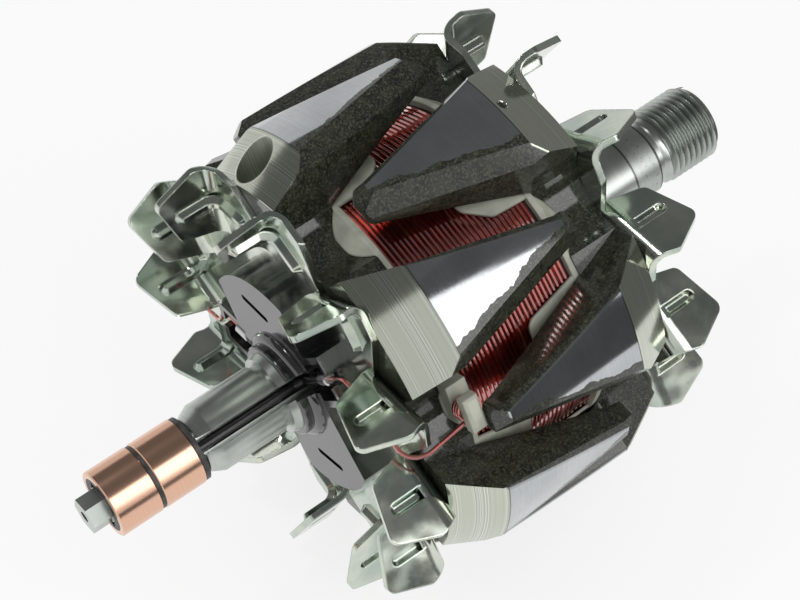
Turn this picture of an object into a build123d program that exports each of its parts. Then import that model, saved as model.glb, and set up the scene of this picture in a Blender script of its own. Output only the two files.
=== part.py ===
# Rotor of a vehicle alternator: a shaft with two claw poles around a field coil, a cooling fan on
# each end and a pair of copper slip rings. Millimetres. The shaft lies along X, with the pulley
# thread at +X and the slip rings at -X. The origin is on the axis, at the middle of the drive-end
# bearing seat. Angles about the shaft are counted from +Z by the right-hand rule about +X.
from build123d import *
from math import cos, radians, sin, sqrt
import os

os.makedirs("parts", exist_ok=True)

# Shaft
drive_seat_radius = 8.5
drive_seat_length = 23.0
pulley_land_length = 6.6
neck_length = 2.4
neck_entry = 0.8
neck_exit = 0.6
neck_radius = 7.4
thread_radius = 8.5
thread_length = 14.3
thread_chamfer = 1.2
press_radius = 9.0
ring_seat_radius = 7.5
ring_seat_length = 14.0
ring_seat_cone = 3.0
ring_seat_nose_radius = 6.0
groove_length = 1.4
groove_radius = 6.9
collar_length = 1.6
collar_radius = 8.4
stub_radius = 3.9
stub_gap = 0.7
nub_length = 4.2
centre_hole_radius = 1.2
drive_centre_radius = 2.4
centre_hole_depth = 5.0
slot_width = 3.8
slot_floor_radius = 4.4
slot_angle = 52.0

# Slip rings on their moulded core
track_radius = 7.2
track_wall = 1.3
track_length = 9.3
track_gap = 0.8
track_chamfer = 0.25
core_rim_length = 1.0
core_rim_radius = 7.0
core_recess_side = 7.5
core_recess_depth = 2.5
core_recess_turn = 20.0

# Claw poles
claw_count = 6
claw_radius = 49.4
pole_length = 54.6
plate_thickness = 11.0
shoulder_drop = 5.7
shoulder_depth = 10.1
valley_radius = 11.0
valley_depth = 3.3
arm_half_width = 12.6
face_half_width = 9.1
face_tip_half_width = 1.8
tip_setback = 3.0
claw_tip_gap = 11.4
claw_tip_half_width = 4.2
claw_root_thickness = 11.1
claw_tip_thickness = 5.2
claw_foot_depth = 8.0
claw_root_round = 0.4
claw_tip_round = 0.9
bevel_slope = 50.0
tip_bevel_slope = 38.0
tip_round = 1.6
edge_break_slope = 45.0
edge_break = 0.5
claw_phase = 15.0
balance_hole_radius = 4.4
balance_hole_depth = 5.0
balance_hole_position = 5.0
centre_pop_radius = 1.5
centre_pop_depth = 0.5
centre_pop_position = 8.0

# Fans
fan_thickness = 1.4
fan_bend_radius = 2.4
fan_disc_inset = 3.0
fan_bore_radius = 15.0
fan_blade_count = 12
fan_arm_root_half_width = 8.5
fan_arm_leading_bulge = 9.5
fan_arm_trailing_bulge = 13.5
fan_arm_leading_end = 6.0
fan_arm_trailing_end = 7.5
bead_arm = 9.0
bead_height = 9.6
bead_bend = 3.6
bead_top_half_width = 0.6
bead_overlap = 0.1
ridge_half_width = 1.5
ridge_height = 1.4
groove_half_width = 1.3
groove_depth = 1.2
rear_fan_phase = 1.5
rear_fan_lean = 33.0
rear_fold_inset = 3.3
rear_blade_foot = 9.3
rear_blade_inner = 6.3
rear_blade_outer = 5.2
rear_blade_corner = 9.0
rear_blade_corner_height = 5.0
front_fan_phase = -1.0
front_fan_lean = 40.0
front_fold_inset = 4.6
front_blade_foot = 8.6
front_blade_inner = 6.1
front_blade_outer = 5.4
front_blade_corner = 9.9
front_blade_corner_height = 6.0
fan_blade_height = 14.5
fan_blade_inner_height = 11.0
fan_blade_round = 2.0

# Coil and bobbin
bobbin_wall = 1.3
bobbin_fit = 0.1
flange_gap = 0.4
coil_gap = 1.3
coil_depth = 8.6
lip_reach = 3.0
lip_edge = 0.4
flap_lift = 0.2
flap_wall = 0.6
flap_reach = 14.0
flap_bulge_position = 9.0
flap_bulge = 12.2
flap_end_half_width = 8.0
flap_flank_gap = 0.3
flap_round = 2.5
hook_angles = (73.0, -107.0)
hook_stem_width = 8.0
hook_stem_offset = 0.8
hook_stem_height = 2.4
hook_stem_sink = 0.8
hook_fit = 0.3
hook_neck_radius = 1.5
hook_neck_height = 2.9
hook_head_length = 3.3
hook_head_width = 7.4
hook_head_height = 2.8
hook_head_chamfer = 0.6
wire_radius = 0.45
wire_bend = 4.0
wire_height = 1.5
wire_turn = 3.7
wire_valley_height = 5.4
wire_scallop_height = 3.5
wire_scallop_turn = 7.5
wire_lift = 2.4
wire_turn_reach = 4.0
detour_drop = 10.9
detour_turn = -11.0
detour_reach = 2.5

# Lead guide and the leads in the shaft's slots
guide_hub_radius = 12.0
guide_hub_round = 1.8
guide_nose_radius = 10.2
guide_nose_length = 1.6
guide_nose_round = 0.5
guide_length = 7.7
guide_bar_radius = 25.0
guide_bar_width = 27.0
guide_bar_thickness = 4.6
guide_ear_angles = (-20.0, 148.0)
guide_slit_length = 9.0
guide_slit_width = 1.4
guide_slit_offset = 6.0
guide_slit_turn = 25.0
guide_floor = 1.5
terminal_angles = (52.0, -88.0)
terminal_width = 11.0
terminal_reach = 24.0
terminal_wall = 1.5
terminal_pocket_start = 14.5
terminal_notch_width = 2.7
terminal_start = 16.0
sleeve_radius = 1.25
sleeve_bend = 3.2
channel_spare = 0.8
lead_fit = 0.1
lead_depth = 0.4
crimp_radius = 1.4
crimp_length = 4.0
crimp_chamfer = 0.3
fan_slit_length = 3.4
fan_slit_width = 1.1
fan_slit_inset = 4.0

# Stations along the shaft
front_fan_face = -drive_seat_length / 2
front_pole_face = front_fan_face - fan_thickness
rear_pole_face = front_pole_face - pole_length
rear_fan_face = rear_pole_face - fan_thickness
guide_face = rear_fan_face - guide_length
groove_start = guide_face - collar_length
ring_seat_end = groove_start - groove_length
ring_seat_start = ring_seat_end - ring_seat_length
stub_start = ring_seat_start - ring_seat_cone
rim_start = stub_start - stub_gap - core_rim_length
core_start = rim_start - 2 * track_length - track_gap
shaft_start = core_start - nub_length
pulley_land_end = drive_seat_length / 2 + pulley_land_length
thread_start = pulley_land_end + neck_length
shaft_end = thread_start + thread_length
slot_end = rear_fan_face - guide_floor
lead_angles = (slot_angle, slot_angle - 180)

# Reach and radii that follow from the rotor's outside
claw_reach = pole_length - claw_tip_gap
shoulder_radius = claw_radius - shoulder_drop
claw_root_inner_radius = claw_radius - claw_root_thickness
claw_tip_inner_radius = claw_radius - claw_tip_thickness
valley_floor_radius = claw_root_inner_radius - valley_depth
claw_foot_radius = valley_floor_radius - claw_foot_depth
face_reach = claw_reach - tip_setback
coil_radius = claw_root_inner_radius - coil_gap
barrel_radius = coil_radius - coil_depth - bobbin_wall
pole_core_radius = barrel_radius - bobbin_fit
flange_radius = claw_root_inner_radius - flange_gap
flap_radius = coil_radius + flap_lift
hook_stem_top = flange_radius + hook_stem_height
hook_neck_top = hook_stem_top + hook_neck_height
fan_disc_radius = valley_floor_radius - fan_disc_inset
rear_fan_fold_radius = shoulder_radius - rear_fold_inset
front_fan_fold_radius = shoulder_radius - front_fold_inset


def radial_plane(angle, height=0.0):
    """Plane that faces outward from the axis at an angle about it, at a height over the axis."""
    outward = Vector(0, -sin(radians(angle)), cos(radians(angle)))
    return Plane(origin=outward * height, x_dir=(1, 0, 0), z_dir=outward)


def across_point(radius, angle):
    """Point in a plane across the shaft, as (y, z), at a radius and an angle about the axis."""
    return (-radius * sin(radians(angle)), radius * cos(radians(angle)))


# The shaft is turned in one piece: a thin stub for the slip rings, the two bearing seats, a
# thicker stretch that the poles are pressed on, and the thread for the pulley nut.
def turned_outline():
    """Half section of the shaft, as (x, radius) points from the slip-ring end to the thread."""
    return [
        (core_start, 0),
        (core_start, stub_radius),
        (stub_start, stub_radius),
        (stub_start, ring_seat_nose_radius),
        (ring_seat_start, ring_seat_radius),
        (ring_seat_end, ring_seat_radius),
        (ring_seat_end, groove_radius),
        (groove_start, groove_radius),
        (groove_start, collar_radius),
        (guide_face, press_radius),
        (front_fan_face, press_radius),
        (front_fan_face, drive_seat_radius),
        (pulley_land_end, drive_seat_radius),
        (pulley_land_end + neck_entry, neck_radius),
        (thread_start - neck_exit, neck_radius),
        (thread_start, thread_radius),
        (shaft_end - thread_chamfer, thread_radius),
        (shaft_end, thread_radius - thread_chamfer),
        (shaft_end, 0),
    ]


with BuildPart() as shaft:
    with BuildSketch(Plane.XZ):
        Polygon(*turned_outline(), align=None)
    revolve(axis=Axis.X)
    # The nub that the slip-ring core is staked behind has six flats.
    with BuildSketch(Plane.YZ.offset(shaft_start)):
        RegularPolygon(radius=stub_radius, side_count=6)
    extrude(amount=nub_length)
    # Centre holes, which the shaft turned on between the lathe's points.
    with BuildSketch(Plane.YZ.offset(shaft_start)):
        Circle(centre_hole_radius)
    extrude(amount=centre_hole_depth, mode=Mode.SUBTRACT)
    with BuildSketch(Plane.YZ.offset(shaft_end)):
        Circle(drive_centre_radius)
    extrude(amount=-centre_hole_depth, mode=Mode.SUBTRACT)
    # Two slots carry the leads under the bearing, from the slip rings to the lead guide.
    for turn in lead_angles:
        with BuildSketch(radial_plane(turn, slot_floor_radius)):
            with Locations((stub_start, 0)):
                Rectangle(slot_end - stub_start, slot_width, align=(Align.MIN, Align.CENTER))
        extrude(amount=press_radius, mode=Mode.SUBTRACT)
shaft.part.label = "shaft"


# A moulded core insulates the two copper tracks from the shaft and from each other.
with BuildPart() as slip_ring_core:
    with BuildSketch(Plane.YZ.offset(core_start)):
        Circle(track_radius - track_wall)
        Circle(stub_radius, mode=Mode.SUBTRACT)
    extrude(amount=rim_start - core_start)
    for start, length, radius in (
        (core_start + track_length, track_gap, core_rim_radius),
        (rim_start, core_rim_length, core_rim_radius),
    ):
        with BuildSketch(Plane.YZ.offset(start)):
            Circle(radius)
            Circle(stub_radius, mode=Mode.SUBTRACT)
        extrude(amount=length)
    # The square pocket round the nub leaves a small dark corner beside each flat.
    with BuildSketch(Plane.YZ.offset(core_start)):
        Rectangle(core_recess_side, core_recess_side, rotation=core_recess_turn)
    extrude(amount=core_recess_depth, mode=Mode.SUBTRACT)
slip_ring_core.part.label = "slip_ring_core"


def copper_track(start):
    """One copper ring, pressed on the core from x = start."""
    with BuildPart() as track:
        with BuildSketch(Plane.YZ.offset(start)):
            Circle(track_radius)
            Circle(track_radius - track_wall, mode=Mode.SUBTRACT)
        extrude(amount=track_length)
        chamfer(track.edges().filter_by(GeomType.CIRCLE).group_by(SortBy.RADIUS)[-1], track_chamfer)
    return track


outer_slip_ring = copper_track(core_start)
outer_slip_ring.part.label = "outer_slip_ring"
inner_slip_ring = copper_track(core_start + track_length + track_gap)
inner_slip_ring.part.label = "inner_slip_ring"


# A claw is worked out on top of the shaft, pointing along +X from the plate's outer face at x = 0.
claw_root = (plate_thickness, claw_root_inner_radius)
claw_tip = (claw_reach, claw_tip_inner_radius)


def claw_section():
    """Section of a claw in the plane of the shaft, as (x, radius) points."""
    return [
        (0, claw_foot_radius),
        (0, shoulder_radius),
        (shoulder_depth, claw_radius),
        (claw_reach, claw_radius),
        claw_tip,
        claw_root,
        (plate_thickness, claw_foot_radius),
    ]


def claw_outline():
    """Outline of a claw seen from outside, as (x, y) points; the wide bevel is on the -Y side."""
    return [
        (0, arm_half_width),
        (shoulder_depth, face_half_width),
        (face_reach, face_tip_half_width),
        (claw_reach, face_tip_half_width),
        (claw_reach, -claw_tip_half_width),
        (plate_thickness, -arm_half_width),
        (0, -arm_half_width),
    ]


def edge_plane(start, end, slope):
    """Plane through two points of a claw's outer face, falling away from the face by a slope."""
    along = (end - start).normalized()
    across = Vector(0, 0, 1).cross(along).normalized()
    normal = Vector(0, 0, 1) * cos(radians(slope)) + across * sin(radians(slope))
    return Plane(origin=start, x_dir=along, z_dir=normal)


with BuildPart() as claw:
    with BuildSketch(Plane.XZ) as section:
        Polygon(*claw_section(), align=None)
        fillet(section.vertices().sort_by_distance(claw_root)[0], claw_root_round)
        fillet(section.vertices().sort_by_distance(claw_tip)[0], claw_tip_round)
    revolve(axis=Axis.X, revolution_arc=60)
    # The sector is turned so that the claw stands in its middle.
claw_ring = claw.part.rotate(Axis.X, -30)

face_drop = claw_radius - sqrt(claw_radius**2 - face_half_width**2)
bevel_plane = edge_plane(
    Vector(face_reach, -face_tip_half_width, claw_radius),
    Vector(shoulder_depth, -face_half_width, claw_radius - face_drop),
    bevel_slope,
)
edge_break_plane = edge_plane(
    Vector(shoulder_depth, face_half_width - edge_break, claw_radius - face_drop),
    Vector(face_reach, face_tip_half_width - edge_break, claw_radius),
    edge_break_slope,
)
tip_plane = edge_plane(
    Vector(face_reach, face_tip_half_width, claw_radius),
    Vector(face_reach, -face_tip_half_width, claw_radius),
    tip_bevel_slope,
)

with BuildPart() as shaped_claw:
    add(claw_ring)
    with BuildSketch(Plane.XY.offset(claw_foot_radius - 1)) as outline:
        Polygon(*claw_outline(), align=None)
        tip_corners = outline.vertices().group_by(Axis.X)[-1]
        fillet(tip_corners, tip_round)
    extrude(amount=claw_radius, mode=Mode.INTERSECT)
    split(bisect_by=bevel_plane, keep=Keep.BOTTOM)
    split(bisect_by=edge_break_plane, keep=Keep.BOTTOM)
    split(bisect_by=tip_plane, keep=Keep.BOTTOM)


def claw_pole(core_length, drilled_claw):
    """A forged pole half: plate, six claws and its half of the core, with the plate's face at 0."""
    with BuildPart() as pole:
        with BuildSketch(Plane.YZ):
            Circle(claw_root_inner_radius)
            with PolarLocations(valley_floor_radius + valley_radius, claw_count, start_angle=90 + 30):
                Circle(valley_radius, mode=Mode.SUBTRACT)
        extrude(amount=plate_thickness)
        with BuildSketch(Plane.YZ):
            Circle(pole_core_radius)
        extrude(amount=core_length)
        for index in range(claw_count):
            add(shaped_claw.part.rotate(Axis.X, index * 360 / claw_count))
        with BuildSketch(Plane.YZ):
            Circle(press_radius)
        extrude(amount=core_length, mode=Mode.SUBTRACT)
        if drilled_claw:
            # Metal is drilled out of one shoulder to balance the rotor.
            with BuildSketch(Plane.XY.offset(claw_radius)):
                with Locations((balance_hole_position, 0)):
                    Circle(balance_hole_radius)
            extrude(amount=-(shoulder_drop + balance_hole_depth), mode=Mode.SUBTRACT)
        else:
            # A shallow centre pop marks the shoulder.
            pop_surface = shoulder_radius + shoulder_drop * centre_pop_position / shoulder_depth
            pop_middle = pop_surface + centre_pop_radius - centre_pop_depth
            with Locations((centre_pop_position, 0, pop_middle)):
                Sphere(centre_pop_radius, mode=Mode.SUBTRACT)
    return pole.part


half_core = pole_length / 2
with BuildPart() as rear_claw_pole:
    add(claw_pole(half_core, True).rotate(Axis.X, -claw_phase).moved(Location((rear_pole_face, 0, 0))))
rear_claw_pole.part.label = "rear_claw_pole"

with BuildPart() as front_claw_pole:
    mirrored_pole = mirror(claw_pole(half_core, False), about=Plane.YZ, mode=Mode.PRIVATE)
    add(mirrored_pole.rotate(Axis.X, claw_phase).moved(Location((front_pole_face, 0, 0))))
front_claw_pole.part.label = "front_claw_pole"


# A fan is cut from sheet and each arm is folded up along a line that leans back from the radius.
def stamped_bead(section_plane, depth, half_width, height):
    """A ridge with sloping sides and round ends, from the arm round the fold and up the blade.

    It stands inward from a depth in the sheet, which is counted from the sheet's outer side.
    """
    blade_depth = depth - fan_thickness
    rise = height + bead_overlap
    with BuildPart() as bead:
        with BuildLine(section_plane) as route:
            FilletPolyline(
                (bead_arm, depth),
                (blade_depth, depth),
                (blade_depth, bead_height),
                radius=bead_bend - blade_depth,
            )
        path = route.wire()
        with BuildSketch(Plane(origin=path @ 0, x_dir=section_plane.z_dir, z_dir=path % 0)):
            Polygon(
                (-half_width, 0),
                (-bead_top_half_width, rise),
                (bead_top_half_width, rise),
                (half_width, 0),
                align=None,
            )
        sweep(path=path)
        for end, inward in ((path @ 0, section_plane.y_dir), (path @ 1, section_plane.x_dir)):
            with Locations(Plane(origin=end, z_dir=inward)):
                Cone(half_width, bead_top_half_width, rise, align=(Align.CENTER, Align.CENTER, Align.MIN))
    return bead.part


def fan_blade(lean, fold_radius, elevation):
    """One folded blade on top of the shaft, standing along +X from the disc's back at x = 0."""
    fold = Vector(0, -sin(radians(lean)), cos(radians(lean)))
    side = Vector(0, -cos(radians(lean)), -sin(radians(lean)))
    middle = Vector(0, 0, fold_radius)
    section_plane = Plane(origin=middle, x_dir=side, z_dir=fold)
    face_plane = Plane(origin=middle, x_dir=fold, z_dir=side * -1)
    reach = fold_radius / 2
    sheet_middle = fan_thickness / 2
    with BuildPart() as blade:
        with BuildSketch(section_plane):
            with BuildLine():
                FilletPolyline(
                    (reach, sheet_middle),
                    (-sheet_middle, sheet_middle),
                    (-sheet_middle, fan_blade_height + 1),
                    radius=fan_bend_radius + sheet_middle,
                )
            trace(line_width=fan_thickness)
        extrude(amount=reach, both=True)
        # Elevation of the blade, and the foot that stays in the disc.
        with BuildSketch(face_plane) as front_view:
            Polygon(*elevation, align=None)
            upper_corners = front_view.vertices().filter_by_position(
                Axis.Y, 2 * fan_thickness, fan_blade_height
            )
            fillet(upper_corners, fan_blade_round)
        extrude(amount=2 * reach, both=True, mode=Mode.INTERSECT)
        # Plan of the arm, from under the disc to beyond the blade's outer corner.
        arm_start = fan_disc_radius - fan_arm_root_half_width
        arm_end = fold_radius + fan_arm_leading_bulge
        with BuildSketch(Plane.YZ.offset(-1)):
            with BuildLine():
                Polyline(
                    (fan_arm_root_half_width, arm_start),
                    (fan_arm_leading_bulge, fan_disc_radius),
                    (fan_arm_leading_end, arm_end),
                    (-fan_arm_trailing_end, arm_end),
                    (-fan_arm_trailing_bulge, fan_disc_radius),
                    (-fan_arm_root_half_width, arm_start),
                    close=True,
                )
            make_face()
        extrude(amount=fan_blade_height + 3, mode=Mode.INTERSECT)
        # A stamped bead stiffens the fold: a ridge inside it and a groove outside it.
        add(stamped_bead(section_plane, fan_thickness - bead_overlap, ridge_half_width, ridge_height))
        add(stamped_bead(section_plane, -bead_overlap, groove_half_width, groove_depth), mode=Mode.SUBTRACT)
    return blade.part


def blade_elevation(foot, inner, outer, corner, corner_height):
    """Outline of a blade as (along the fold, height) points; foot and inner lie towards the disc."""
    under_disc = -foot - fan_arm_root_half_width
    return [
        (under_disc, 0),
        (corner - fan_blade_round, 0),
        (corner, corner_height),
        (outer, fan_blade_height),
        (-inner, fan_blade_inner_height),
        (-foot, fan_thickness),
        (under_disc, fan_thickness),
    ]


def fan(blade, phase):
    """The whole fan, with the disc's back at x = 0 and the blades along +X."""
    with BuildPart() as sheet:
        with BuildSketch(Plane.YZ):
            Circle(fan_disc_radius)
            Circle(fan_bore_radius, mode=Mode.SUBTRACT)
            # Short slits lanced through the disc.
            slit_radius = fan_disc_radius - fan_slit_inset
            with PolarLocations(slit_radius, fan_blade_count, start_angle=90 + 180 / fan_blade_count):
                SlotOverall(fan_slit_length, fan_slit_width, mode=Mode.SUBTRACT)
        extrude(amount=fan_thickness)
        for index in range(fan_blade_count):
            add(blade.rotate(Axis.X, phase + index * 360 / fan_blade_count))
    return sheet.part


rear_elevation = blade_elevation(
    rear_blade_foot, rear_blade_inner, rear_blade_outer, rear_blade_corner, rear_blade_corner_height
)
front_elevation = blade_elevation(
    front_blade_foot, front_blade_inner, front_blade_outer, front_blade_corner, front_blade_corner_height
)
rear_blade = fan_blade(rear_fan_lean, rear_fan_fold_radius, rear_elevation)
front_blade = fan_blade(front_fan_lean, front_fan_fold_radius, front_elevation)

with BuildPart() as rear_fan:
    mirrored_fan = mirror(fan(rear_blade, rear_fan_phase), about=Plane.YZ, mode=Mode.PRIVATE)
    add(mirrored_fan.moved(Location((rear_pole_face, 0, 0))))
rear_fan.part.label = "rear_fan"

with BuildPart() as front_fan:
    add(fan(front_blade, front_fan_phase).moved(Location((front_pole_face, 0, 0))))
front_fan.part.label = "front_fan"


# The nylon bobbin lines the space between the plates. A lip fills the foot of each valley, and a
# thin flap lies over the coil under each claw.
bobbin_start = rear_pole_face + plate_thickness
bobbin_end = front_pole_face - plate_thickness
coil_start = bobbin_start + bobbin_wall
coil_end = bobbin_end - bobbin_wall
hook_x = front_pole_face - claw_reach - hook_fit - hook_head_length / 2


def flap_outline():
    """Outline of a flap seen from outside, as (x, y) points in the frame of a claw."""
    flank_slope = (face_half_width - face_tip_half_width) / (face_reach - shoulder_depth)
    flap_start = plate_thickness + bobbin_fit
    flap_end = plate_thickness + flap_reach
    root_flank = face_half_width + flap_flank_gap
    return [
        (flap_start, root_flank),
        (flap_end, root_flank - flank_slope * flap_reach),
        (flap_end, -flap_end_half_width),
        (plate_thickness + flap_bulge_position, -flap_bulge),
        (flap_start, -arm_half_width),
    ]


def lips_and_flaps():
    """Six lips and six flaps of one flange, in the frame of a pole half with its plate's face at 0."""
    with BuildPart() as lips:
        with BuildSketch(Plane.XZ):
            Polygon(
                (plate_thickness, valley_floor_radius),
                (plate_thickness, flange_radius),
                (plate_thickness - lip_reach, valley_floor_radius + lip_edge),
                (plate_thickness - lip_reach, valley_floor_radius),
                align=None,
            )
        revolve(axis=Axis.X)
        with BuildSketch(Plane.YZ):
            with PolarLocations(valley_floor_radius + valley_radius, claw_count, start_angle=90 + 30):
                Circle(valley_radius - bobbin_fit)
        extrude(amount=plate_thickness, mode=Mode.INTERSECT)
    with BuildPart() as flap:
        with BuildSketch(Plane.YZ.offset(plate_thickness + bobbin_fit)):
            Circle(flap_radius + flap_wall)
            Circle(flap_radius, mode=Mode.SUBTRACT)
        extrude(amount=flap_reach)
        with BuildSketch(Plane.XY) as plan:
            Polygon(*flap_outline(), align=None)
            fillet(plan.vertices().group_by(Axis.X)[1:], flap_round)
        extrude(amount=claw_radius, mode=Mode.INTERSECT)
    with BuildPart() as both:
        add(lips.part)
        for index in range(claw_count):
            add(flap.part.rotate(Axis.X, index * 360 / claw_count))
    return both.part


with BuildPart() as post_head:
    with BuildSketch(Plane.XY):
        Rectangle(hook_head_length, hook_head_width)
    extrude(amount=hook_head_height)
    chamfer(post_head.faces().sort_by(Axis.Z)[-1].edges(), hook_head_chamfer)

with BuildPart() as coil_bobbin:
    with BuildSketch(Plane.YZ.offset(bobbin_start)):
        Circle(barrel_radius + bobbin_wall)
        Circle(barrel_radius, mode=Mode.SUBTRACT)
    extrude(amount=bobbin_end - bobbin_start)
    for start in (bobbin_start, bobbin_end - bobbin_wall):
        with BuildSketch(Plane.YZ.offset(start)):
            Circle(flange_radius)
            Circle(barrel_radius, mode=Mode.SUBTRACT)
        extrude(amount=bobbin_wall)
    add(lips_and_flaps().rotate(Axis.X, -claw_phase).moved(Location((rear_pole_face, 0, 0))))
    mirrored_edge = mirror(lips_and_flaps(), about=Plane.YZ, mode=Mode.PRIVATE)
    add(mirrored_edge.rotate(Axis.X, claw_phase).moved(Location((front_pole_face, 0, 0))))
    # A post for each end of the wire stands in a valley of the rear pole.
    hook_stem_length = coil_start - hook_x + hook_head_length / 2
    for turn in hook_angles:
        with BuildSketch(radial_plane(turn, flange_radius - hook_stem_sink)):
            with Locations((coil_start, hook_stem_offset)):
                Rectangle(hook_stem_length, hook_stem_width, align=(Align.MAX, Align.CENTER))
        extrude(amount=hook_stem_top - flange_radius + hook_stem_sink)
        with BuildSketch(radial_plane(turn, hook_stem_top)):
            with Locations((hook_x, 0)):
                Circle(hook_neck_radius)
        extrude(amount=hook_neck_top - hook_stem_top)
        head_place = radial_plane(turn, hook_neck_top).location * Location((hook_x, 0, 0))
        add(post_head.part.moved(head_place))
coil_bobbin.part.label = "coil_bobbin"

with BuildPart() as field_coil:
    with BuildSketch(Plane.YZ.offset(coil_start)):
        Circle(coil_radius)
        Circle(barrel_radius + bobbin_wall, mode=Mode.SUBTRACT)
    extrude(amount=coil_end - coil_start)
field_coil.part.label = "field_coil"


# The lead guide is moulded: a hub, two rounded ears, and a box where each lead meets the coil.
# Each lead leaves its slot in the shaft and runs outward in a channel, through these points.
lead_height = slot_floor_radius + lead_fit + sleeve_radius
lead_turn_x = rear_fan_face - guide_bar_thickness + sleeve_radius + lead_depth
lead_routes = [
    [across_point(lead_height, lead_angles[0]), across_point(terminal_start, terminal_angles[0])],
    [
        across_point(lead_height, lead_angles[1]),
        across_point(guide_hub_radius, lead_angles[1]),
        across_point(guide_hub_radius, terminal_angles[1]),
        across_point(terminal_start, terminal_angles[1]),
    ],
]

with BuildPart() as lead_guide:
    # The hub has a narrower nose and rounded edges.
    nose_edge = (guide_face, guide_nose_radius)
    hub_edge = (guide_face + guide_nose_length, guide_hub_radius)
    with BuildSketch(Plane.XZ) as hub:
        Polygon(
            (guide_face, 0),
            nose_edge,
            (guide_face + guide_nose_length, guide_nose_radius),
            hub_edge,
            (rear_fan_face, guide_hub_radius),
            (rear_fan_face, 0),
            align=None,
        )
        fillet(hub.vertices().sort_by_distance(nose_edge)[0], guide_nose_round)
        fillet(hub.vertices().sort_by_distance(hub_edge)[0], guide_hub_round)
    revolve(axis=Axis.X)
    guide_front = Plane.YZ.offset(rear_fan_face - guide_bar_thickness)
    with BuildSketch(guide_front):
        for turn in guide_ear_angles:
            Rectangle(guide_bar_width, guide_bar_radius, rotation=turn, align=(Align.CENTER, Align.MIN))
        Circle(guide_bar_radius, mode=Mode.INTERSECT)
        for turn in terminal_angles:
            Rectangle(terminal_width, terminal_reach, rotation=turn, align=(Align.CENTER, Align.MIN))
    extrude(amount=guide_bar_thickness)
    # Curved slits in the flat face of each ear.
    with BuildSketch(guide_front):
        for turn in guide_ear_angles:
            with Locations(across_point(guide_hub_radius + guide_slit_offset, turn)):
                SlotOverall(guide_slit_length, guide_slit_width, rotation=turn + guide_slit_turn)
    extrude(amount=guide_floor, mode=Mode.SUBTRACT)
    # Pockets and channels for the leads, and a notch where the coil's end comes in.
    with BuildSketch(Plane.YZ.offset(guide_face)):
        for turn in terminal_angles:
            with Locations(across_point(terminal_pocket_start, turn)):
                Rectangle(
                    terminal_width - 2 * terminal_wall,
                    terminal_reach - terminal_wall - terminal_pocket_start,
                    rotation=turn,
                    align=(Align.CENTER, Align.MIN),
                )
                Rectangle(
                    terminal_notch_width, terminal_reach, rotation=turn, align=(Align.CENTER, Align.MIN)
                )
        for route in lead_routes:
            with BuildLine():
                Polyline((0, 0), *route)
            trace(line_width=slot_width + channel_spare)
    extrude(amount=slot_end - guide_face, mode=Mode.SUBTRACT)
    with BuildSketch(Plane.YZ.offset(guide_face)):
        Circle(press_radius)
    extrude(amount=guide_length, mode=Mode.SUBTRACT)
lead_guide.part.label = "lead_guide"


def sleeved_lead(route):
    """A sleeved lead from the slip-ring core along its slot and out through the guide's channel."""
    start_x = rim_start + core_rim_length
    path_points = [(start_x, *route[0]), (lead_turn_x, *route[0])]
    path_points += [(lead_turn_x, *point) for point in route[1:]]
    with BuildPart() as lead:
        with BuildLine():
            path = FilletPolyline(*path_points, radius=sleeve_bend)
        with BuildSketch(Plane(origin=path @ 0, z_dir=path % 0)):
            Circle(sleeve_radius)
        sweep()
    return lead


ring_lead_one = sleeved_lead(lead_routes[0])
ring_lead_one.part.label = "ring_lead_one"
ring_lead_two = sleeved_lead(lead_routes[1])
ring_lead_two.part.label = "ring_lead_two"


def crimp(route):
    """The tinned barrel that joins a sleeved lead to the coil's wire, beyond the lead's end."""
    end = Vector(lead_turn_x, *route[-1])
    along = (end - Vector(lead_turn_x, *route[-2])).normalized()
    with BuildPart() as barrel:
        with BuildSketch(Plane(origin=end, z_dir=along)):
            Circle(crimp_radius)
        extrude(amount=crimp_length)
        chamfer(barrel.edges().filter_by(GeomType.CIRCLE), crimp_chamfer)
    return barrel


terminal_one = crimp(lead_routes[0])
terminal_one.part.label = "terminal_one"
terminal_two = crimp(lead_routes[1])
terminal_two.part.label = "terminal_two"


def coil_wire(hook_angle, terminal_angle, turns):
    """The coil's own wire from a bobbin post, through the pole's valley, in to a terminal.

    It passes in front of the fan through the turns, each a radius and an angle from the terminal's.
    """
    valley_wire_radius = valley_floor_radius + wire_valley_height
    scallop_wire_radius = valley_floor_radius + wire_scallop_height
    path_points = [
        (hook_x, *across_point(hook_stem_top + wire_height, hook_angle + wire_turn)),
        (rear_pole_face, *across_point(valley_wire_radius, hook_angle + wire_scallop_turn)),
        (rear_fan_face - wire_lift, *across_point(scallop_wire_radius, hook_angle + wire_scallop_turn)),
    ]
    path_points += [(lead_turn_x, *across_point(radius, terminal_angle + turn)) for radius, turn in turns]
    path_points.append((lead_turn_x, *across_point(terminal_start + crimp_length, terminal_angle)))
    with BuildPart() as wire:
        with BuildLine():
            path = FilletPolyline(*path_points, radius=wire_bend)
        with BuildSketch(Plane(origin=path @ 0, z_dir=path % 0)):
            Circle(wire_radius)
        sweep()
    return wire


# The first wire turns in straight before its terminal. The second rounds the foot of a blade.
straight_in = [(terminal_reach + wire_turn_reach, 0)]
round_blade = [(rear_fan_fold_radius - detour_drop, detour_turn), (terminal_reach + detour_reach, 0)]
coil_lead_one = coil_wire(hook_angles[0], terminal_angles[0], straight_in)
coil_lead_one.part.label = "coil_lead_one"
coil_lead_two = coil_wire(hook_angles[1], terminal_angles[1], round_blade)
coil_lead_two.part.label = "coil_lead_two"

for piece in (
    shaft,
    slip_ring_core,
    outer_slip_ring,
    inner_slip_ring,
    rear_claw_pole,
    front_claw_pole,
    rear_fan,
    front_fan,
    coil_bobbin,
    field_coil,
    lead_guide,
    ring_lead_one,
    ring_lead_two,
    terminal_one,
    terminal_two,
    coil_lead_one,
    coil_lead_two,
):
    export_step(piece.part, f"parts/{piece.part.label}.step")
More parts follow.
